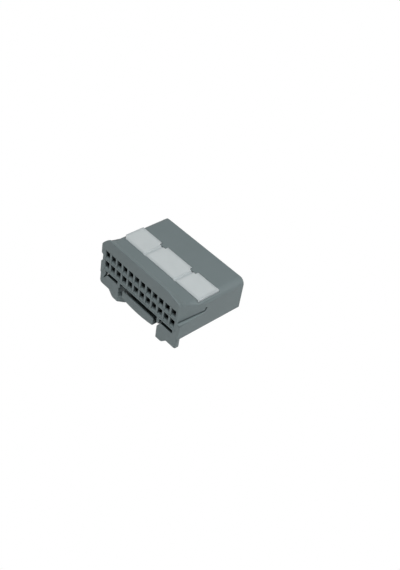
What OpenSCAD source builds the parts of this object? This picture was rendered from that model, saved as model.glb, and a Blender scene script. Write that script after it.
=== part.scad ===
// Two-row wire connector: a moulded receptacle housing, its drop-in retainer,
// its latch lever and one female terminal in every cavity. Millimetres.
// The origin is the centre of the mating face, midway between the two rows.
// +Y leaves the mating face, +X runs along the rows, +Z is the retainer side.

/* [Ways] */
// Terminal columns in each row
columns = 12; // [8:1:14]
// Spacing of the columns
pitch = 2.5; // [2.4:0.05:3]
// Spacing of the two rows
row_pitch = 3.43; // [3.35:0.01:4]
// Width of a terminal cavity
cavity_w = 1.8; // [1.7:0.05:1.9]
// Height of a terminal cavity
cavity_h = 2.3; // [2.2:0.05:2.35]
// Height of the sloped wire lead-in under each cavity mouth
mouth_drop = 0.45; // [0.2:0.05:0.45]
// Depth of the sloped wire lead-in
mouth_depth = 0.9; // [0.4:0.05:2]
// Extra room under the wire behind the lead-in
relief_drop = 0.55; // [0.2:0.05:0.6]
// Thickness of the lip on each side of the mouth
mouth_lip = 0.3; // [0.2:0.05:0.6]
// Extra room on each side of the wire behind that lip
relief_side = 0.2; // [0.05:0.05:0.25]
// Height of the ribs along the plate, under each row of mouths
rib_h = 0.3; // [0.2:0.05:0.4]
// Height of the upper rib above the lower row of mouths
rib_up = 0.3; // [0.2:0.05:0.35]
// Height of the ribs' faces above the plate
rib_out = 0.15; // [0.1:0.05:0.3]
// Width of a pin hole in the mating face
pin_hole_w = 1; // [0.8:0.05:1.2]
// Height of a pin hole in the mating face
pin_hole_h = 0.9; // [0.7:0.05:1.1]
// Width of the chamfer round a pin hole
pin_lead = 0.35; // [0.2:0.05:0.4]

/* [Housing] */
// Wall outside the end cavities
side_wall = 1.95; // [1.9:0.05:3]
// Wall over the upper row
roof = 1.335; // [1.1:0.005:2.5]
// Wall under the lower row
under_wall = 1.135; // [0.8:0.005:1.5]
// Length of the wire-side cavity block, up to the retainer
front_len = 6.35; // [5:0.05:10]
// Length of the mating-side cavity block, from the retainer
mating_len = 8.85; // [8:0.05:12]
// Thickness of the mating face wall
face_wall = 1.1; // [0.8:0.05:1.5]
// Radius of the two upper long edges
corner_r = 2.2; // [1:0.05:2.6]
// Radius of the upper edge at the mating face
rear_r = 0.55; // [0.3:0.05:1.5]
// Thickness of the bottom walls beside the latch
base_wall = 0.6; // [0.5:0.01:1.5]
// Thickness of each primary lock lance
lance_t = 0.4; // [0.3:0.05:0.45]
// Width of each lance
lance_w = 1.1; // [0.8:0.05:1.2]
// Room for a lance to bend into
lance_room = 0.3; // [0.2:0.05:0.35]
// Length of each lance
lance_len = 4.6; // [3:0.1:5]
// Depth of the catch on each lance
lance_catch = 0.22; // [0.1:0.01:0.25]
// Length of the ramp on each lance's catch
lance_ramp = 1.2; // [0.8:0.05:1.4]
// Length of the flat behind the ramp
lance_flat = 0.3; // [0.2:0.05:0.4]
// Thickness of the wall that each lance grows from
lance_root = 1.2; // [0.8:0.05:1.5]

/* [Wire-side plate] */
// Thickness of the plate that carries the cavity mouths
plate_t = 0.65; // [0.5:0.05:1.2]
// Height of the plate above the roof
plate_rise = 2.75; // [1.5:0.05:4]
// Bevel of the plate's corner on the ear side
ear_bevel = 3; // [1:0.1:3.5]
// Fullness of that corner: 1 is a straight bevel and 2 a quarter round
ear_bow = 1.2; // [1:0.05:2]
// Underside of the ear, above the midline
ear_low = 0.9; // [0.4:0.1:1.6]
// Depth of the notch under the ear
notch_depth = 0.65; // [0.3:0.05:1]
// Lower end of the notch, below the midline
notch_low = 1.7; // [1.2:0.1:2.5]
// Length of the sloped top edge opposite the ear
slope_len = 5; // [3:0.1:8]
// Drop of the sloped top edge
slope_drop = 1.35; // [0.8:0.05:2]
// Length of the ramp that runs from the back of the plate down to the roof
ramp_len = 2.6; // [1.5:0.1:3]
// Height of the plate's shoulder above that ramp
ramp_step = 0.5; // [0.2:0.05:0.7]

/* [Sides] */
// Inset of the side panels at the plate
panel_inset = 1.3; // [0.8:0.05:1.35]
// Length over which the panels taper out to the full width
panel_len = 9.2; // [6:0.1:10]
// Radius of the panels' upper edges
panel_r = 1.5; // [0.8:0.05:2]
// Depth of the ledge's front top edge below the midline
ledge_drop = 1.35; // [0.8:0.05:1.6]
// Rise of the ledge towards the mating end, in degrees
ledge_slope = 6.5; // [0:0.5:10]
// Height of the slot between panel and ledge
slot_h = 0.6; // [0.3:0.05:0.8]
// Depth of the slot inside the full width
slot_depth = 1.5; // [1.4:0.05:1.55]
// Length of the slot's upturned end
hook_len = 1.4; // [0.8:0.1:1.6]
// Steepness of that end against the slot, in degrees
hook_turn = 65; // [40:5:80]

/* [Guards] */
// Height of the windows under the lower row
window_h = 1.5; // [1:0.05:2.5]
// Width of the two outer windows
window_w = 5.3; // [3:0.1:6]
// Depth of the two outer windows
window_depth = 13; // [6:0.5:16]
// Thickness of the lip at the front of each outer window
window_lip = 0.2; // [0.15:0.05:0.8]
// Drop of the outer windows' floor behind the lip
window_drop = 0.35; // [0.1:0.05:0.4]
// Half width of the latch channel
channel_half = 7.9; // [7.2:0.1:9]
// Thickness of the walls beside the latch channel
channel_wall = 1; // [0.8:0.05:1.4]
// Thickness of the guard plates
guard_t = 1.15; // [0.8:0.05:2]
// Drop of the guards below the base
guard_drop = 3.67; // [2:0.01:5]
// Extra drop of the rounded lobe on each guard
lobe_drop = 1.75; // [1.3:0.05:2.5]
// Radius of the lobe's outer corner
lobe_r = 1.5; // [1:0.05:1.55]
// Width of the flat stretch of the lobe
lobe_w = 1.6; // [0.5:0.1:2.5]
// Radius of the guards' outer lower corners
guard_r = 1; // [0.5:0.1:2]
// Inset of the guards' outer edges from the full width
guard_inset = 0.2; // [0.1:0.05:0.5]
// Depth of the return wall along each guard's inner edge
return_len = 5.2; // [1.5:0.1:6]
// Reach of the toe that turns in under each end of the thumb pad
toe_reach = 1.7; // [1:0.1:1.8]
// Height of the toe above the flat edge of the guard
toe_rise = 0.4; // [0:0.05:0.6]
// Width of the relief slit at one lower corner of each outer window
slit_w = 0.5; // [0.2:0.05:0.6]
// Drop of the relief slits
slit_drop = 1.6; // [0.8:0.1:2]
// Depth of the relief slits
slit_depth = 1.6; // [0.3:0.05:2]

/* [Retainer] */
// Length of the retainer along the cavities
retainer_len = 7.5; // [6.5:0.1:9]
// Wall left outside each end of the retainer
end_wall = 0.8; // [0.6:0.05:0.9]
// Bevel of the retainer's lid at its polarised corner
lid_bevel = 1.3; // [1:0.1:2.5]
// Running clearance round the retainer
slide_gap = 0.1; // [0.05:0.01:0.15]
// Height of the retainer's top above the roof
retainer_proud = 0.12; // [0:0.01:0.5]
// Bite of the retainer's bars behind the terminals
bite = 0.5; // [0.3:0.05:0.6]
// Lift of the retainer to its pre-set position
lift = 1; // [0.8:0.05:1.1]
// Distance of the two keyways from the middle
key_x = 6.25; // [4:0.05:8]
// Width of each keyway
key_w = 2.4; // [1.6:0.1:3]
// Depth of each keyway
key_depth = 1; // [0.5:0.05:1.5]
// Width of the seams between the three pads
seam_w = 0.8; // [0.3:0.05:1.2]
// Depth of the seams
seam_depth = 0.3; // [0.1:0.05:0.4]

/* [Latch lever] */
// Half width of the thumb pad
pad_half = 6.6; // [5.5:0.1:6.8]
// Height of the thumb pad in the middle
pad_h = 3.3; // [2:0.1:4]
// Thickness of the thumb pad
pad_t = 2.8; // [2.2:0.1:3.5]
// Thickness of the lip along the pad's upper front edge
pad_lip = 0.25; // [0.2:0.05:0.5]
// Depth of the hollow in the top of the pad
pad_hollow = 1.9; // [1:0.1:2]
// Thickness of the wall at the back of the hollow
pad_wall = 0.6; // [0.4:0.05:0.8]
// Radius of the pad's curved lower edge
pad_curve = 36; // [20:1:60]
// Clear height of the gap over the pad
press_gap = 2; // [1.9:0.05:3]
// Half width of the lever's beam
beam_half = 5.2; // [3.5:0.1:6]
// Thickness of the beam
beam_t = 1; // [0.7:0.05:1.5]
// Radius of the bead that the lever turns on
bead_r = 0.7; // [0.5:0.05:0.8]
// Clearance round the bead
bead_gap = 0.1; // [0.05:0.01:0.15]
// Half width of the latch hook
catch_half = 3; // [1.5:0.1:3.4]
// Depth of the latch hook under the beam
catch_h = 1; // [0.5:0.1:1.5]
// Length of the latch hook's ramp
catch_len = 2.6; // [1.5:0.1:4]
// Distance of the latch hook's square face from the mating face
catch_y = 9.5; // [8:0.1:12]

/* [Terminals] */
// Clearance between a terminal's box and its cavity
terminal_gap = 0.1; // [0.05:0.01:0.15]
// Sheet thickness of the terminals
sheet = 0.2; // [0.15:0.01:0.25]
// Length of the box that takes the pin
box_len = 6.9; // [5.8:0.1:7.2]
// Length of the neck behind the box
neck_len = 1; // [0.8:0.1:2]
// Length of the conductor crimp
crimp_len = 2.6; // [1.5:0.1:3.5]
// Length of the insulation crimp
grip_len = 2.2; // [1.5:0.1:3]
// Outer diameter of the conductor crimp
crimp_d = 1.2; // [1:0.05:1.4]
// Outer diameter of the insulation crimp
grip_d = 1.5; // [1.2:0.05:1.6]

/* [Hidden] */
$fn = 48;
eps = 0.01;
run_in = 0.03;
far = 100;
housing_colour = "#727b7e";
retainer_colour = "#e6e9e9";
terminal_colour = "#c9c5b4";

row_z = [row_pitch / 2, -row_pitch / 2];
body_w = (columns - 1) * pitch + cavity_w + 2 * side_wall;
half_w = body_w / 2;
roof_z = row_pitch / 2 + cavity_h / 2 + roof;
block_z = -row_pitch / 2 - cavity_h / 2 - under_wall;
window_z = block_z - window_h;
base_z = window_z - base_wall;
pocket_len = retainer_len + 2 * slide_gap;
body_len = front_len + pocket_len + mating_len;
wire_y = -body_len;
plate_y = wire_y + plate_t;
pocket_y = wire_y + front_len;
mating_y = -mating_len;

plate_z = roof_z + plate_rise;
shoulder_z = plate_z - slope_drop;
plate_half = half_w;
panel_half = half_w - panel_inset;
guard_z = base_z - guard_drop;
lobe_z = guard_z - lobe_drop;
guard_in = channel_half + channel_wall / 2;
guard_out = half_w - guard_inset;
window_in = channel_half + channel_wall;

rib_half = panel_half - rib_h;

retainer_half = half_w - end_wall;
retainer_z = roof_z + retainer_proud;
lid_z = row_z[0] + cavity_h / 2 - bite;
finger_z = row_z[1] - cavity_h / 2;
comb_half = column_x(columns - 1) + cavity_w / 2;

pad_z = block_z - press_gap;
beam_z = pad_z - beam_t;
bead_y = -face_wall - bead_r - bead_gap - 0.5;
bead_z = block_z - bead_r - bead_gap;
jaw = 0.6;

lance_y = -face_wall - lance_root;
box_w = cavity_w - 2 * terminal_gap;
box_h = cavity_h - 2 * terminal_gap;
box_y = -face_wall - terminal_gap;

function column_x(column) = (column - (columns - 1) / 2) * pitch;
function terminal_name(row, column) = str("terminal_", row == 0 ? "upper" : "lower", "_", column + 1);

// Stands an X-Z outline along Y, from y0 to y1
module along_y(y0, y1) {
    translate([0, y1, 0])
        rotate([90, 0, 0])
            linear_extrude(y1 - y0)
                children();
}

// Stands a Y-Z outline along X, from x0 to x1
module along_x(x0, x1) {
    translate([x0, 0, 0])
        rotate([90, 0, 90])
            linear_extrude(x1 - x0)
                children();
}

// A box given by its lowest and highest corners
module box(low, high) {
    translate(low)
        cube(high - low);
}

module both_sides() {
    children();
    mirror([1, 0, 0])
        children();
}

module each_cavity() {
    for (row = [0:1])
        for (column = [0:columns - 1])
            translate([column_x(column), 0, row_z[row]])
                children();
}

// Section of the body: square below, rounded along its two upper edges
module body_section() {
    translate([-half_w, base_z])
        square([body_w, roof_z - corner_r - base_z]);
    translate([corner_r - half_w, base_z])
        square([body_w - 2 * corner_r, roof_z - base_z]);
    for (side = [-1, 1])
        translate([side * (half_w - corner_r), roof_z - corner_r])
            circle(r = corner_r);
}

// Outline of the plate above the guards: an ear on one side, a sloped shoulder on the other
module plate_outline() {
    ear = [
        for (turn = [0:15:90]) [
            ear_bevel * (1 - pow(cos(turn), 2 / ear_bow)) - plate_half,
            plate_z - ear_bevel * (1 - pow(sin(turn), 2 / ear_bow))
        ]
    ];
    polygon(concat([[-plate_half, ear_low]], ear, [
        [panel_half - slope_len, plate_z],
        [panel_half, shoulder_z],
        [plate_half, shoulder_z - panel_inset],
        [plate_half, block_z],
        [notch_depth - plate_half, block_z],
        [notch_depth - plate_half, ear_low - notch_depth / 2]
    ]));
    translate([channel_half, base_z])
        square([plate_half - channel_half, block_z - base_z + eps]);
    translate([-plate_half, base_z])
        square([plate_half - channel_half, block_z - base_z + eps]);
    polygon([
        [-plate_half, base_z],
        [-plate_half, -notch_low - notch_depth / 2],
        [notch_depth - plate_half, -notch_low],
        [notch_depth - plate_half, base_z]
    ]);
}

// Outline of one guard, with its rounded lobe beside the thumb pad
module guard_outline() {
    lobe_x = guard_in + lobe_w;
    lobe_top = lobe_z + lobe_r;
    tip = lobe_r * sin(45);
    translate([guard_in, guard_z + guard_r])
        square([guard_out - guard_in, window_z - guard_z - guard_r]);
    translate([guard_in, guard_z])
        square([guard_out - guard_r - guard_in, guard_r + eps]);
    translate([guard_out - guard_r, guard_z + guard_r])
        circle(r = guard_r);
    translate([guard_in, lobe_z])
        square([lobe_w, guard_z - lobe_z + eps]);
    translate([lobe_x, lobe_top])
        circle(r = lobe_r);
    polygon([
        [lobe_x, guard_z + eps],
        [lobe_x, lobe_top],
        [lobe_x + tip, lobe_top - tip],
        [lobe_x + tip + guard_z - lobe_top + tip + eps, guard_z + eps]
    ]);
}

module guard() {
    along_y(wire_y, wire_y + guard_t)
        guard_outline();
    box([guard_in, wire_y, guard_z], [guard_in + channel_wall, wire_y + return_len, base_z + eps]);
    translate([guard_in, wire_y, lobe_z])
        linear_extrude(guard_z + toe_rise - lobe_z)
            polygon([
                [0, 0],
                [-toe_reach, toe_reach],
                [-toe_reach, toe_reach + channel_wall],
                [channel_wall / 2, toe_reach],
                [channel_wall / 2, 0]
            ]);
}

// Cut that tapers one side panel in towards the plate, above the sloped ledge, from front_y on
module panel_cut(front_y) {
    front_x = panel_half + (front_y - wire_y) * panel_inset / panel_len;
    intersection() {
        translate([0, 0, -far / 2])
            linear_extrude(far)
                polygon([
                    [front_x, front_y],
                    [half_w + 1, front_y],
                    [half_w + 1, wire_y + panel_len],
                    [half_w, wire_y + panel_len]
                ]);
        translate([0, wire_y, -ledge_drop])
            rotate([ledge_slope, 0, 0])
                box([0, -1, 0], [far, far, far]);
    }
}

// Cut that carries a rounded upper edge along one tapered panel
module panel_edge_cut() {
    taper = atan(panel_inset / panel_len);
    translate([panel_half, wire_y, 0])
        rotate([0, 0, -taper])
            along_y(0, panel_len / cos(taper))
                translate([run_in - panel_r, roof_z + run_in - panel_r])
                    difference() {
                        square(panel_r + 1);
                        circle(r = panel_r);
                    }
}

// Cut that rounds the upper edge at the mating face
module rear_edge_cut() {
    along_x(-half_w - 1, half_w + 1)
        translate([run_in - rear_r, roof_z + run_in - rear_r])
            difference() {
                square(rear_r + 1);
                circle(r = rear_r);
            }
}

// Ramp that stiffens the plate, up to just under its shoulder and running out on the panels' rounded edges
module plate_ramp() {
    top_z = shoulder_z - ramp_step;
    slope = (top_z - roof_z) / ramp_len;
    foot_z = roof_z - panel_r - 1;
    along_x(-half_w, half_w)
        polygon([
            [plate_y - eps, foot_z],
            [plate_y + (top_z - foot_z) / slope, foot_z],
            [plate_y - eps, top_z]
        ]);
}

// Narrow slot between the panel and the ledge, turned up at its far end
module slot_cut() {
    translate([half_w - slot_depth, wire_y, -ledge_drop])
        rotate([ledge_slope, 0, 0]) {
            box([0, plate_t, 0], [slot_depth + 1, panel_len, slot_h]);
            translate([0, panel_len, 0])
                rotate([hook_turn, 0, 0])
                    box([0, 0, 0], [slot_depth + 1, hook_len, slot_h]);
        }
}

// Everything cut for one way: cavity, wire lead-in and relief, lance room and pin hole
module cavity_cut() {
    box([-cavity_w / 2, wire_y - eps, -cavity_h / 2], [cavity_w / 2, -face_wall, cavity_h / 2]);
    box(
        [-cavity_w / 2 - relief_side, wire_y + mouth_lip, -cavity_h / 2],
        [cavity_w / 2 + relief_side, pocket_y + eps, cavity_h / 2]
    );
    box(
        [-cavity_w / 2 - relief_side, wire_y + mouth_depth, -cavity_h / 2 - relief_drop],
        [cavity_w / 2 + relief_side, pocket_y + eps, -cavity_h / 2 + eps]
    );
    along_x(-cavity_w / 2, cavity_w / 2)
        polygon([
            [wire_y - eps, -cavity_h / 2 - mouth_drop],
            [wire_y + mouth_depth, -cavity_h / 2],
            [wire_y - eps, -cavity_h / 2 + eps]
        ]);
    box([-cavity_w / 2, mating_y - eps, 0], [cavity_w / 2, lance_y, cavity_h / 2 + lance_t + lance_room]);
    box([-pin_hole_w / 2, -face_wall - eps, -pin_hole_h / 2], [pin_hole_w / 2, eps, pin_hole_h / 2]);
    intersection() {
        along_x(-far / 2, far / 2)
            polygon([
                [-pin_lead, -pin_hole_h / 2],
                [eps, -pin_hole_h / 2 - pin_lead],
                [eps, pin_hole_h / 2 + pin_lead],
                [-pin_lead, pin_hole_h / 2]
            ]);
        translate([0, 0, -far / 2])
            linear_extrude(far)
                polygon([
                    [-pin_hole_w / 2, -pin_lead],
                    [pin_hole_w / 2, -pin_lead],
                    [pin_hole_w / 2 + pin_lead, eps],
                    [-pin_hole_w / 2 - pin_lead, eps]
                ]);
    }
}

// Springy lance over one cavity, with its catch
module lance() {
    tail_y = lance_y - lance_len;
    box([-lance_w / 2, tail_y, cavity_h / 2], [lance_w / 2, lance_y + eps, cavity_h / 2 + lance_t]);
    along_x(-lance_w / 2, lance_w / 2)
        polygon([
            [tail_y, cavity_h / 2 + eps],
            [tail_y, cavity_h / 2],
            [tail_y + lance_ramp, cavity_h / 2 - lance_catch],
            [tail_y + lance_ramp + lance_flat, cavity_h / 2 - lance_catch],
            [tail_y + lance_ramp + lance_flat, cavity_h / 2 + eps]
        ]);
}

// Jaws at the end of the latch channel that hold the lever's bead
module bead_seat() {
    back_y = bead_y - bead_r - bead_gap - jaw;
    difference() {
        box([-channel_half - eps, back_y, bead_z - bead_r / 2], [channel_half + eps, -face_wall + eps, block_z + eps]);
        along_x(-far / 2, far / 2)
            translate([bead_y, bead_z])
                circle(r = bead_r + bead_gap);
        along_x(-far / 2, far / 2)
            polygon([
                [bead_y + bead_r + bead_gap, bead_z],
                [bead_y + bead_r + bead_gap, bead_z - 2 * bead_r],
                [bead_y - 2 * bead_r, bead_z - 2 * bead_r],
                [bead_y - bead_r - bead_gap, bead_z]
            ]);
    }
}

module housing() {
    color(housing_colour) {
        difference() {
            union() {
                difference() {
                    along_y(plate_y - eps, 0)
                        body_section();
                    both_sides()
                        panel_edge_cut();
                    rear_edge_cut();
                }
                plate_ramp();
                along_y(wire_y, plate_y)
                    plate_outline();
                for (low_z = [row_z[1] + cavity_h / 2 + rib_up, block_z])
                    box([-rib_half, wire_y - rib_out, low_z], [rib_half, wire_y + eps, low_z + rib_h]);
                both_sides()
                    guard();
            }
            panel_cut(wire_y - 1);
            mirror([1, 0, 0])
                panel_cut(plate_y - eps);
            both_sides() {
                slot_cut();
                box(
                    [window_in, wire_y - 1, window_z],
                    [window_in + window_w, wire_y + window_depth, block_z]
                );
                box(
                    [window_in, wire_y + window_lip, window_z - window_drop],
                    [window_in + window_w, wire_y + window_depth, block_z]
                );
            }
            for (left_x = [-window_in - window_w, window_in])
                along_y(wire_y - 1, wire_y + slit_depth)
                    polygon([
                        [left_x + slit_w / 2, window_z + slit_w],
                        [left_x + 3 * slit_w / 2, window_z + slit_w],
                        [left_x + slit_w - slit_drop / 2, window_z - slit_drop],
                        [left_x - slit_drop / 2, window_z - slit_drop]
                    ]);
            box([-channel_half, wire_y - 1, base_z - 1], [channel_half, -face_wall, block_z]);
            translate([0, 0, lid_z - slide_gap])
                linear_extrude(far)
                    lid_outline(slide_gap);
            box(
                [-comb_half - slide_gap, pocket_y, finger_z - slide_gap],
                [comb_half + slide_gap, mating_y, lid_z]
            );
            each_cavity()
                cavity_cut();
        }
        each_cavity()
            lance();
        for (side = [-1, 1])
            translate([side * key_x, 0, 0])
                box(
                    [slide_gap - key_w / 2, mating_y - key_depth, roof_z - roof],
                    [key_w / 2 - slide_gap, mating_y + eps, roof_z]
                );
        bead_seat();
    }
}

// Plan of the retainer's lid, with one bevelled corner, grown by a clearance
module lid_outline(gap) {
    side_x = retainer_half + gap;
    corner = lid_bevel - gap * tan(22.5);
    polygon([
        [-side_x, pocket_y + slide_gap + corner],
        [corner - retainer_half, pocket_y + slide_gap - gap],
        [side_x, pocket_y + slide_gap - gap],
        [side_x, mating_y - slide_gap + gap],
        [-side_x, mating_y - slide_gap + gap]
    ]);
}

// Comb that drops in across the cavities: a lid, a finger beside every cavity, and a bar over each row
module retainer() {
    y0 = pocket_y + slide_gap;
    y1 = mating_y - slide_gap;
    bar_low = row_z[1] + cavity_h / 2 - bite;
    bar_high = row_z[0] - cavity_h / 2 - lift - slide_gap / 2;
    color(retainer_colour) {
        difference() {
            union() {
                translate([0, 0, lid_z])
                    linear_extrude(retainer_z - lid_z)
                        lid_outline(0);
                box([-comb_half, y0, finger_z], [comb_half, y1, lid_z + eps]);
            }
            for (column = [0:columns - 1])
                translate([column_x(column), 0, 0]) {
                    box([-cavity_w / 2 - eps, y0 - 1, finger_z - 1], [cavity_w / 2 + eps, y1 + 1, bar_low]);
                    box([-cavity_w / 2 - eps, y0 - 1, bar_high], [cavity_w / 2 + eps, y1 + 1, lid_z]);
                }
            for (side = [-1, 1])
                translate([side * key_x, 0, 0]) {
                    box([-key_w / 2, y1 - key_depth, finger_z - 1], [key_w / 2, y1 + 1, retainer_z + 1]);
                    box([-seam_w / 2, y0 - 1, retainer_z - seam_depth], [seam_w / 2, y1 + 1, retainer_z + 1]);
                }
        }
    }
}

// Beam hung from its bead at the mating end, with a hook below and a thumb pad at the wire end
module latch_lever() {
    hook_y = -catch_y;
    color(housing_colour) {
        difference() {
            along_y(wire_y, wire_y + pad_t)
                intersection() {
                    translate([-pad_half, pad_z - pad_h])
                        square([2 * pad_half, pad_h]);
                    translate([0, pad_z - pad_h + pad_curve])
                        circle(r = pad_curve, $fn = 200);
                }
            along_x(-pad_half - 1, pad_half + 1)
                polygon([
                    [wire_y + pad_lip, pad_z + eps],
                    [wire_y + 2 * pad_wall, pad_z - pad_hollow],
                    [wire_y + pad_t - pad_wall, pad_z - pad_hollow],
                    [wire_y + pad_t - pad_wall, pad_z + eps]
                ]);
        }
        box([-beam_half, wire_y + pad_t - eps, beam_z], [beam_half, bead_y + bead_r * 0.8, pad_z]);
        box([-beam_half, bead_y - bead_r * 0.8, pad_z - eps], [beam_half, bead_y + bead_r * 0.8, bead_z]);
        along_x(-beam_half, beam_half)
            translate([bead_y, bead_z])
                circle(r = bead_r);
        along_x(-catch_half, catch_half)
            polygon([
                [hook_y, beam_z + eps],
                [hook_y, beam_z - catch_h],
                [hook_y + catch_len / 3, beam_z - catch_h],
                [hook_y + catch_len, beam_z],
                [hook_y + catch_len, beam_z + eps]
            ]);
    }
}

// Female terminal: a folded box for the pin, a neck, and two rolled crimps
module terminal() {
    box_back = box_y - box_len;
    neck_back = box_back - neck_len;
    crimp_back = neck_back - crimp_len;
    grip_front = crimp_back - neck_len;
    grip_back = grip_front - grip_len;
    floor_z = -box_h / 2;
    lance_tail = lance_y - lance_len;
    lance_nose = lance_tail + lance_ramp + lance_flat;
    color(terminal_colour) {
        difference() {
            box([-box_w / 2, box_back, floor_z], [box_w / 2, box_y, box_h / 2]);
            box(
                [sheet - box_w / 2, box_back - 1, floor_z + sheet],
                [box_w / 2 - sheet, box_y + 1, box_h / 2 - sheet]
            );
            box(
                [-lance_w / 2 - terminal_gap, lance_tail - terminal_gap, 0],
                [lance_w / 2 + terminal_gap, lance_nose + 2 * terminal_gap, box_h / 2 + 1]
            );
        }
        box([-crimp_d / 2, grip_front - eps, floor_z], [crimp_d / 2, box_back + sheet, floor_z + sheet]);
        along_y(crimp_back, neck_back)
            translate([0, floor_z + crimp_d / 2])
                difference() {
                    circle(d = crimp_d);
                    circle(d = crimp_d - 2 * sheet);
                }
        along_y(grip_back, grip_front)
            translate([0, floor_z + grip_d / 2])
                difference() {
                    circle(d = grip_d);
                    circle(d = grip_d - 2 * sheet);
                }
    }
}

housing();
retainer();
latch_lever();
for (row = [0:1])
    for (column = [0:columns - 1])
        translate([column_x(column), 0, row_z[row]])
                terminal();
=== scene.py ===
import math

import bmesh
import bpy
from mathutils import Matrix, Vector
from mathutils.bvhtree import BVHTree


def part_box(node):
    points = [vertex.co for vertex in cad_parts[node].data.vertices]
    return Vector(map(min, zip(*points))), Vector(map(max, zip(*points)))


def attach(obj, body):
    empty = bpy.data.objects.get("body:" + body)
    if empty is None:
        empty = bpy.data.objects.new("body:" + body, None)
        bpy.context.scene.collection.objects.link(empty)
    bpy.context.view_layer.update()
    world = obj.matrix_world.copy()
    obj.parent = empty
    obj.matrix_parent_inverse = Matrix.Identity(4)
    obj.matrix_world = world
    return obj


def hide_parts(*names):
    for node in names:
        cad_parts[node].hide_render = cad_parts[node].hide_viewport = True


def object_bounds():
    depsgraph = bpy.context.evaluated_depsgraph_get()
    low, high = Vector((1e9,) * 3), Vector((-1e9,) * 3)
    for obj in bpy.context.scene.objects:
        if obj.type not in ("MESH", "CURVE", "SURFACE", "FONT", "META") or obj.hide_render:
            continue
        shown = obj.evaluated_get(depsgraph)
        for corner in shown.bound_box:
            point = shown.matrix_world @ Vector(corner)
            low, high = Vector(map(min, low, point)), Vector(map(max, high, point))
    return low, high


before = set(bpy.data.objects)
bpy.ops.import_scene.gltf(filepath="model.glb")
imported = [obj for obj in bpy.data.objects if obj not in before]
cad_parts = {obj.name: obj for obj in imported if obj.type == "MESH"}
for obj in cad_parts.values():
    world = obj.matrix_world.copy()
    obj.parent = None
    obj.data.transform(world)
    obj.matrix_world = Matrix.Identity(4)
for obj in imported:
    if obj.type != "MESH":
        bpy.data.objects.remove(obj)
cad_low, cad_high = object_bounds()

# Housing: the grey receptacle block with its cavities, guards and latch channel.
# It is injection moulded in glass-filled PBT in one shot, so its outer edges have the small
# round of the tool's steel and its walls the fine satin grain of spark erosion.


def linear(hex_colour):
    """An sRGB hex colour as linear RGBA."""
    parts = [int(hex_colour[i:i + 2], 16) / 255 for i in (1, 3, 5)]
    return [c / 12.92 if c <= 0.04045 else ((c + 0.055) / 1.055) ** 2.4 for c in parts] + [1.0]


def add_node(tree, kind, settings=None, values=None, links=None):
    """Adds one node, with its settings, its socket values, and links to its inputs."""
    made = tree.nodes.new(kind)
    for name, value in (settings or {}).items():
        setattr(made, name, value)
    for socket, value in (values or {}).items():
        made.inputs[socket].default_value = value
    for socket, source in (links or {}).items():
        tree.links.new(source, made.inputs[socket])
    return made


def new_material(name):
    """A node material with its tree, its shader and its Object coordinates."""
    material = bpy.data.materials.new(name)
    material.use_nodes = True
    tree = material.node_tree
    shader = next(n for n in tree.nodes if n.type == "BSDF_PRINCIPLED")
    place = add_node(tree, "ShaderNodeTexCoord").outputs["Object"]
    return material, tree, shader, place


def middle_of(edge):
    """The middle of an edge."""
    return (edge.verts[0].co + edge.verts[1].co) / 2


def broad(face, edge):
    """True for a flat wall of the moulding, false for a narrow facet of a curved one."""
    facet_width = 0.001
    return face.calc_area() / edge.calc_length() > facet_width


def moulded(node, name, edge_round, keeps_sharp, body):
    """A copy of a CAD solid with its outer edges rounded, riding on the solid's body in its stead.

    keeps_sharp(point) is true where the tool has no room for the round."""
    hairline = 2e-5  # the widest step that joined walls leave between them
    flush = math.radians(0.5)  # faces that turn less are one wall
    facet_turn = math.radians(2)  # edges that turn more show, unless they lie on a curve
    crumb_turn = math.radians(25)  # edges that turn more and have no room for the round are drawn together
    crumb_length = 0.7 * edge_round
    round_turn = math.radians(35)  # edges that turn more are rounded, or stay sharp
    clear_reach = 0.004  # an outer edge has no wall this near in front of it
    off_the_edge = 1e-5

    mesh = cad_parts[node].data.copy()
    mesh.name = name
    mesh.materials.clear()
    work = bmesh.new()
    work.from_mesh(mesh)
    bmesh.ops.remove_doubles(work, verts=work.verts, dist=hairline)
    bmesh.ops.dissolve_limit(work, angle_limit=flush, verts=work.verts, edges=work.edges)
    crumbs = [
        edge for edge in work.edges
        if edge.calc_length() < crumb_length and edge.calc_face_angle(0.0) > crumb_turn
        and edge.is_convex and not keeps_sharp(middle_of(edge))
    ]
    bmesh.ops.collapse(work, edges=crumbs)
    walls = BVHTree.FromBMesh(work)
    rounded = work.edges.layers.float.new("bevel_weight_edge")
    for face in work.faces:
        face.smooth = True
    for edge in work.edges:
        turn = edge.calc_face_angle(0.0)
        middle = middle_of(edge)
        outward = (edge.link_faces[0].normal + edge.link_faces[1].normal).normalized()
        if turn > round_turn:
            hit = walls.ray_cast(middle + outward * off_the_edge, outward, clear_reach)[0]
            in_open = hit is None and edge.is_convex and not keeps_sharp(middle)
            edge[rounded] = 1.0 if in_open else 0.0
            edge.smooth = in_open
        elif turn > facet_turn:
            edge.smooth = not all(broad(face, edge) for face in edge.link_faces)
    work.to_mesh(mesh)
    work.free()

    piece = bpy.data.objects.new(name, mesh)
    bpy.context.scene.collection.objects.link(piece)
    bevel = piece.modifiers.new("edge round", "BEVEL")
    bevel.width = edge_round
    bevel.segments = 3
    bevel.limit_method = "WEIGHT"
    bevel.use_clamp_overlap = False
    flats = piece.modifiers.new("flat walls", "WEIGHTED_NORMAL")
    flats.keep_sharp = True
    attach(piece, body)
    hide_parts(node)
    return piece


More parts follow.
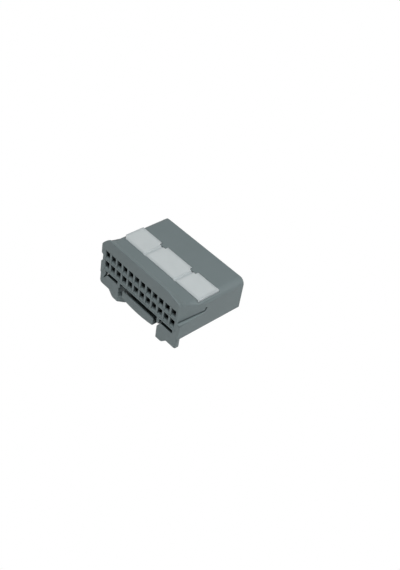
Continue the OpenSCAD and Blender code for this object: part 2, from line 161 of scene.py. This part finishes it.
# Where the openings lie: the rows of cavities, the sills of the guards' windows, the retainer's pocket
# and the side slots.
comb_low, comb_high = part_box("retainer")
rows_half = 0.0152
rows_bottom, rows_top = -0.0043, 0.0032
sill_back = cad_low.y + 0.0006
sill_bottom, sill_top = -0.0057, -0.0052
pocket_margin = 0.0003
slot_inside = 0.0147
slot_front, slot_back = cad_low.y + 0.0003, comb_low.y + 0.0045
slot_bottom, slot_top = -0.0020, 0.0024


def at_openings(point):
    """The mouths, pin holes, sills, pocket and slots, whose rims the tool shuts off and leaves sharp."""
    side = abs(point.x)
    in_rows = side < rows_half and rows_bottom < point.z < rows_top
    at_sill = side < rows_half and point.y < sill_back and sill_bottom < point.z < sill_top
    at_pocket = (
        side < comb_high.x + pocket_margin and point.z > 0
        and comb_low.y - pocket_margin < point.y < comb_high.y + pocket_margin
    )
    at_slot = side > slot_inside and slot_front < point.y < slot_back and slot_bottom < point.z < slot_top
    return in_rows or at_sill or at_pocket or at_slot


housing = moulded(
    "housing", "moulded_housing", edge_round=0.0002, keeps_sharp=at_openings, body="housing"
)

# Glass-filled PBT from a spark-eroded tool: an even mid grey with faint clouds where the melt flowed,
# and a low, broad sheen. The real grit is about 0.05 mm, and it is drawn coarser so that it shows.
flow_size = 0.006
grit_size = 0.0003
grit_depth = 0.00002

grey_pbt, tree, shader, place = new_material("glass-filled PBT, moulded satin grey")
flow = add_node(
    tree, "ShaderNodeTexNoise", values={"Scale": 1 / flow_size, "Detail": 3.0}, links={"Vector": place}
)
grit = add_node(
    tree, "ShaderNodeTexNoise", values={"Scale": 1 / grit_size, "Detail": 4.0}, links={"Vector": place}
)
grey = add_node(tree, "ShaderNodeMix", {"data_type": "RGBA"}, links={"Factor": flow.outputs["Fac"]})
grey.inputs["A"].default_value = linear("#6b7778")
grey.inputs["B"].default_value = linear("#717c7e")

# Painted shade: the walls deep in the cavities and windows get a darker base colour, as hardly any light
# comes back out of them.
# Each axis fades on its own from a mouth to its depth, and a wall is painted dark where all of them say
# so.
start_vector, end_vector = 7, 8  # the vector sockets From Min and From Max of Map Range
mouth_rim = 0.0004
windows_bottom = -0.0060
unlit_low = Vector((-rows_half, cad_low.y + mouth_rim, windows_bottom))
unlit_high = Vector((rows_half, cad_high.y - mouth_rim, rows_top))
fade_depth = Vector((0.0002, 0.0014, 0.0003))
past_mouths = [
    add_node(
        tree, "ShaderNodeMapRange", {"data_type": "FLOAT_VECTOR", "interpolation_type": "SMOOTHSTEP"},
        values={start_vector: mouth, end_vector: deep}, links={"Vector": place},
    ).outputs["Vector"]
    for mouth, deep in ((unlit_low, unlit_low + fade_depth), (unlit_high, unlit_high - fade_depth))
]
between = add_node(
    tree, "ShaderNodeVectorMath", {"operation": "MULTIPLY"}, links={0: past_mouths[0], 1: past_mouths[1]}
)
inside = add_node(tree, "ShaderNodeSeparateXYZ", links={"Vector": between.outputs["Vector"]})
in_plan = add_node(
    tree, "ShaderNodeMath", {"operation": "MULTIPLY"},
    links={0: inside.outputs["X"], 1: inside.outputs["Y"]},
)
painted_shade_mask = add_node(
    tree, "ShaderNodeMath", {"operation": "MULTIPLY"},
    links={0: in_plan.outputs["Value"], 1: inside.outputs["Z"]},
)
shade = add_node(
    tree, "ShaderNodeMix", {"data_type": "RGBA"},
    links={"Factor": painted_shade_mask.outputs["Value"], "A": grey.outputs["Result"]},
)
# Painted shade: the near-black that the deep walls of the cavities and windows are painted with.
shade.inputs["B"].default_value = linear("#181b1c")
tree.links.new(shade.outputs["Result"], shader.inputs["Base Color"])
satin = add_node(
    tree, "ShaderNodeMapRange", values={"To Min": 0.42, "To Max": 0.58},
    links={"Value": grit.outputs["Fac"]},
)
tree.links.new(satin.outputs["Result"], shader.inputs["Roughness"])
bump = add_node(
    tree, "ShaderNodeBump", values={"Strength": 0.25, "Distance": grit_depth},
    links={"Height": grit.outputs["Fac"]},
)
tree.links.new(bump.outputs["Normal"], shader.inputs["Normal"])
shader.inputs["IOR"].default_value = 1.55
shader.inputs["Specular IOR Level"].default_value = 0.25
housing.data.materials.append(grey_pbt)

# Terminals: one female terminal in each cavity, folded and crimped from tin-plated bronze strip.
# One is copied from the frame and set out on the pitch of the cavities; the lances hold them.

# Bright tin plating: a pale soft mirror, smeared a little duller where the strip was handled.
smear_size = 0.0008

tin, tree, shader, place = new_material("bronze strip, bright tin plated")
smear = add_node(
    tree, "ShaderNodeTexNoise", values={"Scale": 1 / smear_size, "Detail": 2.0}, links={"Vector": place}
)
dulled = add_node(
    tree, "ShaderNodeMapRange", values={"To Min": 0.22, "To Max": 0.4},
    links={"Value": smear.outputs["Fac"]},
)
tree.links.new(dulled.outputs["Result"], shader.inputs["Roughness"])
shader.inputs["Base Color"].default_value = linear("#cfccc4")
shader.inputs["Metallic"].default_value = 1.0

terminal_names = [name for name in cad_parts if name.startswith("terminal_")]
columns = sum(name.startswith("terminal_upper") for name in terminal_names)
first_low, first_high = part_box("terminal_upper_1")
first_middle = (first_low + first_high) / 2
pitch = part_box("terminal_upper_2")[0].x - first_low.x
row_spacing = first_low.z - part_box("terminal_lower_1")[0].z

rows_tree = bpy.data.node_groups.new("terminals on their pitch", "GeometryNodeTree")
for socket, kind in (
    ("Geometry", "NodeSocketGeometry"), ("Columns", "NodeSocketInt"), ("Row length", "NodeSocketFloat"),
    ("Row spacing", "NodeSocketFloat"), ("Plating", "NodeSocketMaterial"),
):
    rows_tree.interface.new_socket(socket, in_out="INPUT", socket_type=kind)
rows_tree.interface.new_socket("Geometry", in_out="OUTPUT", socket_type="NodeSocketGeometry")
given = add_node(rows_tree, "NodeGroupInput").outputs
seats = add_node(
    rows_tree, "GeometryNodeMeshGrid", values={"Vertices Y": 2},
    links={"Vertices X": given["Columns"], "Size X": given["Row length"], "Size Y": given["Row spacing"]},
)
upright = add_node(
    rows_tree, "GeometryNodeTransform", values={"Rotation": (math.pi / 2, 0, 0)},
    links={"Geometry": seats.outputs["Mesh"]},
)
seated = add_node(
    rows_tree, "GeometryNodeInstanceOnPoints",
    links={"Points": upright.outputs["Geometry"], "Instance": given["Geometry"]},
)
made_real = add_node(
    rows_tree, "GeometryNodeRealizeInstances", links={"Geometry": seated.outputs["Instances"]}
)
plated = add_node(
    rows_tree, "GeometryNodeSetMaterial",
    links={"Geometry": made_real.outputs["Geometry"], "Material": given["Plating"]},
)
add_node(rows_tree, "NodeGroupOutput", links={"Geometry": plated.outputs["Geometry"]})

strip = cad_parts["terminal_upper_1"].data.copy()
strip.materials.clear()
strip.transform(Matrix.Translation((-first_middle.x, 0, -first_middle.z)))
fold_turn = math.radians(25)
work = bmesh.new()
work.from_mesh(strip)
bmesh.ops.remove_doubles(work, verts=work.verts, dist=1e-6)
for edge in work.edges:
    edge.smooth = edge.calc_face_angle(0.0) < fold_turn
for face in work.faces:
    face.smooth = True
work.to_mesh(strip)
work.free()
terminals = bpy.data.objects.new("crimp_terminals", strip)
bpy.context.scene.collection.objects.link(terminals)
setting_out = terminals.modifiers.new("set out on the pitch", "NODES")
setting_out.node_group = rows_tree
sizes = {
    "Columns": columns, "Row length": (columns - 1) * pitch, "Row spacing": row_spacing, "Plating": tin,
}
for item in rows_tree.interface.items_tree:
    if item.name in sizes:
        setting_out[item.identifier] = sizes[item.name]
evaluated = terminals.evaluated_get(bpy.context.evaluated_depsgraph_get())
terminals_mesh = bpy.data.meshes.new_from_object(evaluated)
terminals.modifiers.remove(setting_out)
terminals.data = terminals_mesh
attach(terminals, "housing")
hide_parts(*terminal_names)

# Retainer: the white comb that drops in across the cavities and locks the terminals.
# It is moulded in natural PBT, unpigmented, so light goes a little way into it.

lid_thickness = 0.0017
lid_underside = comb_high.z - lid_thickness


def under_lid(point):
    """The comb below the lid, whose fingers and bars are too fine for a round."""
    return point.z < lid_underside


retainer = moulded(
    "retainer", "moulded_retainer", edge_round=0.00015, keeps_sharp=under_lid, body="retainer",
)

# Natural PBT: a soft milky white and faintly cloudy. Painted shade makes it a little greyer towards the
# rims and seams of the lid's three pads, where light leaks out.
cloud_size = 0.003
painted_shade_width = 0.0012
seam_x = 2.5 * pitch
light_reach = 0.0006
comb_middle, comb_half = (comb_low + comb_high) / 2, (comb_high - comb_low) / 2

white_pbt, tree, shader, place = new_material("natural PBT, moulded white")
cloud = add_node(
    tree, "ShaderNodeTexNoise", values={"Scale": 1 / cloud_size, "Detail": 3.0}, links={"Vector": place}
)
from_middle = add_node(
    tree, "ShaderNodeVectorMath", {"operation": "SUBTRACT"}, values={1: comb_middle}, links={0: place}
)
mirrored = add_node(
    tree, "ShaderNodeVectorMath", {"operation": "ABSOLUTE"}, links={0: from_middle.outputs["Vector"]}
)
to_rim = add_node(
    tree, "ShaderNodeVectorMath", {"operation": "SUBTRACT"}, values={0: comb_half},
    links={1: mirrored.outputs["Vector"]},
)
rim = add_node(tree, "ShaderNodeSeparateXYZ", links={"Vector": to_rim.outputs["Vector"]})
seam = add_node(
    tree, "ShaderNodeMath", {"operation": "SUBTRACT"}, values={1: comb_half.x - seam_x},
    links={0: rim.outputs["X"]},
)
from_seam = add_node(tree, "ShaderNodeMath", {"operation": "ABSOLUTE"}, links={0: seam.outputs["Value"]})
across = add_node(
    tree, "ShaderNodeMath", {"operation": "MINIMUM"},
    links={0: rim.outputs["X"], 1: from_seam.outputs["Value"]},
)
nearest = add_node(
    tree, "ShaderNodeMath", {"operation": "MINIMUM"},
    links={0: across.outputs["Value"], 1: rim.outputs["Y"]},
)
clear_of_painted_shade = add_node(
    tree, "ShaderNodeMapRange", {"interpolation_type": "SMOOTHSTEP"}, values={"From Max": painted_shade_width},
    links={"Value": nearest.outputs["Value"]},
)
white = add_node(
    tree, "ShaderNodeMix", {"data_type": "RGBA"}, links={"Factor": clear_of_painted_shade.outputs["Result"]}
)
# Painted shade: the grey at the rims and seams of the pads, and the white well inside them.
white.inputs["A"].default_value = linear("#b8c0c2")
white.inputs["B"].default_value = linear("#ccd3d4")
clouded = add_node(
    tree, "ShaderNodeMix", {"data_type": "RGBA", "blend_type": "MULTIPLY"},
    links={"A": white.outputs["Result"], "B": cloud.outputs["Fac"]},
)
clouded.inputs["Factor"].default_value = 0.1
tree.links.new(clouded.outputs["Result"], shader.inputs["Base Color"])
shader.inputs["Roughness"].default_value = 0.4
shader.inputs["IOR"].default_value = 1.55
shader.inputs["Subsurface Weight"].default_value = 0.6
shader.inputs["Subsurface Radius"].default_value = (light_reach, light_reach, light_reach)
shader.inputs["Subsurface Scale"].default_value = 1.0
retainer.data.materials.append(white_pbt)

# Latch lever: the sprung beam with the thumb pad at the wire end and the hook under it.
# It is moulded in the same grey PBT as the housing, and turns on a bead in the housing's channel.

neck_length = 0.0025
neck_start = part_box("latch_lever")[1].y - neck_length


def at_bead(point):
    """The bead and its neck, which turn in the housing and stay as cut."""
    return point.y > neck_start


lever = moulded(
    "latch_lever", "moulded_latch_lever", edge_round=0.00025, keeps_sharp=at_bead, body="latch_lever",
)
lever.data.materials.append(grey_pbt)

# Studio: a plain white paper floor that keeps the connector's shadow, a dim even surround,
# a soft box overhead, a second one at the right and a low reflector in front of the wire side.

floor_gap = 0.0005
floor_z = cad_low.z - floor_gap
floor_half = 3.0
floor_mesh = bpy.data.meshes.new("floor")
floor_mesh.from_pydata(
    [(x * floor_half, y * floor_half, floor_z) for x, y in ((-1, -1), (1, -1), (1, 1), (-1, 1))],
    [], [(0, 1, 2, 3)],
)
floor = bpy.data.objects.new("floor", floor_mesh)
bpy.context.scene.collection.objects.link(floor)


def shows_white(tree):
    """1 where the camera, a reflection or a see-through piece looks at the backdrop, else 0."""
    ray = add_node(tree, "ShaderNodeLightPath").outputs
    direct = add_node(
        tree, "ShaderNodeMath", {"operation": "MAXIMUM"},
        links={0: ray["Is Camera Ray"], 1: ray["Is Glossy Ray"]},
    )
    return add_node(
        tree, "ShaderNodeMath", {"operation": "MAXIMUM"},
        links={0: direct.outputs["Value"], 1: ray["Is Transmission Ray"]},
    ).outputs["Value"]


# White paper: matt and bright. All round it is as white as the backdrop, and under the connector it
# shows its own shade. On each side the first value is where the shade ends, the second where white starts.
left_shade, left_white = cad_low.x - 0.0028, cad_low.x - 0.0048
front_shade, front_white = cad_low.y + 0.0051, cad_low.y + 0.0041
right_shade, right_white = cad_high.x - 0.009, cad_high.x - 0.005
back_shade, back_white = cad_high.y, cad_high.y + 0.009

paper, tree, shader, place = new_material("white paper floor")
shader.inputs["Base Color"].default_value = linear("#f3f3f3")
shader.inputs["Roughness"].default_value = 0.9
glow = add_node(tree, "ShaderNodeEmission", values={"Color": (1, 1, 1, 1), "Strength": 1.0})
past_shade = [
    add_node(
        tree, "ShaderNodeMapRange", {"data_type": "FLOAT_VECTOR", "interpolation_type": "SMOOTHSTEP"},
        values={start_vector: (*shade_ends, 0), end_vector: (*white_starts, 1)}, links={"Vector": place},
    ).outputs["Vector"]
    for shade_ends, white_starts in (
        ((left_shade, front_shade), (left_white, front_white)),
        ((right_shade, back_shade), (right_white, back_white)),
    )
]
outside = add_node(
    tree, "ShaderNodeVectorMath", {"operation": "MAXIMUM"}, links={0: past_shade[0], 1: past_shade[1]}
)
sides = add_node(tree, "ShaderNodeSeparateXYZ", links={"Vector": outside.outputs["Vector"]})
whiteness = add_node(
    tree, "ShaderNodeMath", {"operation": "MAXIMUM"}, links={0: sides.outputs["X"], 1: sides.outputs["Y"]}
)
share = add_node(
    tree, "ShaderNodeMath", {"operation": "MULTIPLY"},
    links={0: whiteness.outputs["Value"], 1: shows_white(tree)},
)
blend = add_node(
    tree, "ShaderNodeMixShader",
    links={"Fac": share.outputs["Value"], 1: shader.outputs["BSDF"], 2: glow.outputs["Emission"]},
)
output = next(n for n in tree.nodes if n.type == "OUTPUT_MATERIAL")
tree.links.new(blend.outputs["Shader"], output.inputs["Surface"])
floor_mesh.materials.append(paper)

surround_light = 0.02
world = bpy.data.worlds.new("studio surround")
bpy.context.scene.world = world
world.use_nodes = True
tree = world.node_tree
around = next(n for n in tree.nodes if n.type == "BACKGROUND")
around.inputs["Color"].default_value = (1, 1, 1, 1)
level = add_node(
    tree, "ShaderNodeMapRange", values={"To Min": surround_light, "To Max": 1.0},
    links={"Value": shows_white(tree)},
)
tree.links.new(level.outputs["Result"], around.inputs["Strength"])

aim = (cad_low + cad_high) / 2
lamp_distance = 0.4
for name, direction, size, watts in (
    ("overhead soft box", Vector((0.24, -0.24, 0.94)), 0.1, 1.13),
    ("side soft box", Vector((0.76, 0.35, 0.54)), 0.15, 0.45),
    ("low front reflector", Vector((0.00, -0.99, 0.10)), 0.08, 0.17),
):
    lamp_data = bpy.data.lights.new(name, "AREA")
    lamp_data.shape = "SQUARE"
    lamp_data.size = size
    lamp_data.energy = watts
    lamp = bpy.data.objects.new(name, lamp_data)
    bpy.context.scene.collection.objects.link(lamp)
    lamp.location = aim + direction.normalized() * lamp_distance
    lamp.rotation_euler = (-direction).to_track_quat("-Z", "Y").to_euler()

camera_turn = (48.430, -7.676, 47.697)  # degrees about X, Y and Z
camera_data = bpy.data.cameras.new("camera")
camera_data.sensor_width = 36
camera_data.lens = 53.53
camera_data.clip_start, camera_data.clip_end = 0.01, 10
camera = bpy.data.objects.new("camera", camera_data)
bpy.context.scene.collection.objects.link(camera)
camera.location = (0.12204, -0.13943, 0.15152)
camera.rotation_euler = [math.radians(angle) for angle in camera_turn]
bpy.context.scene.camera = camera
bpy.context.scene.view_settings.view_transform = "Standard"
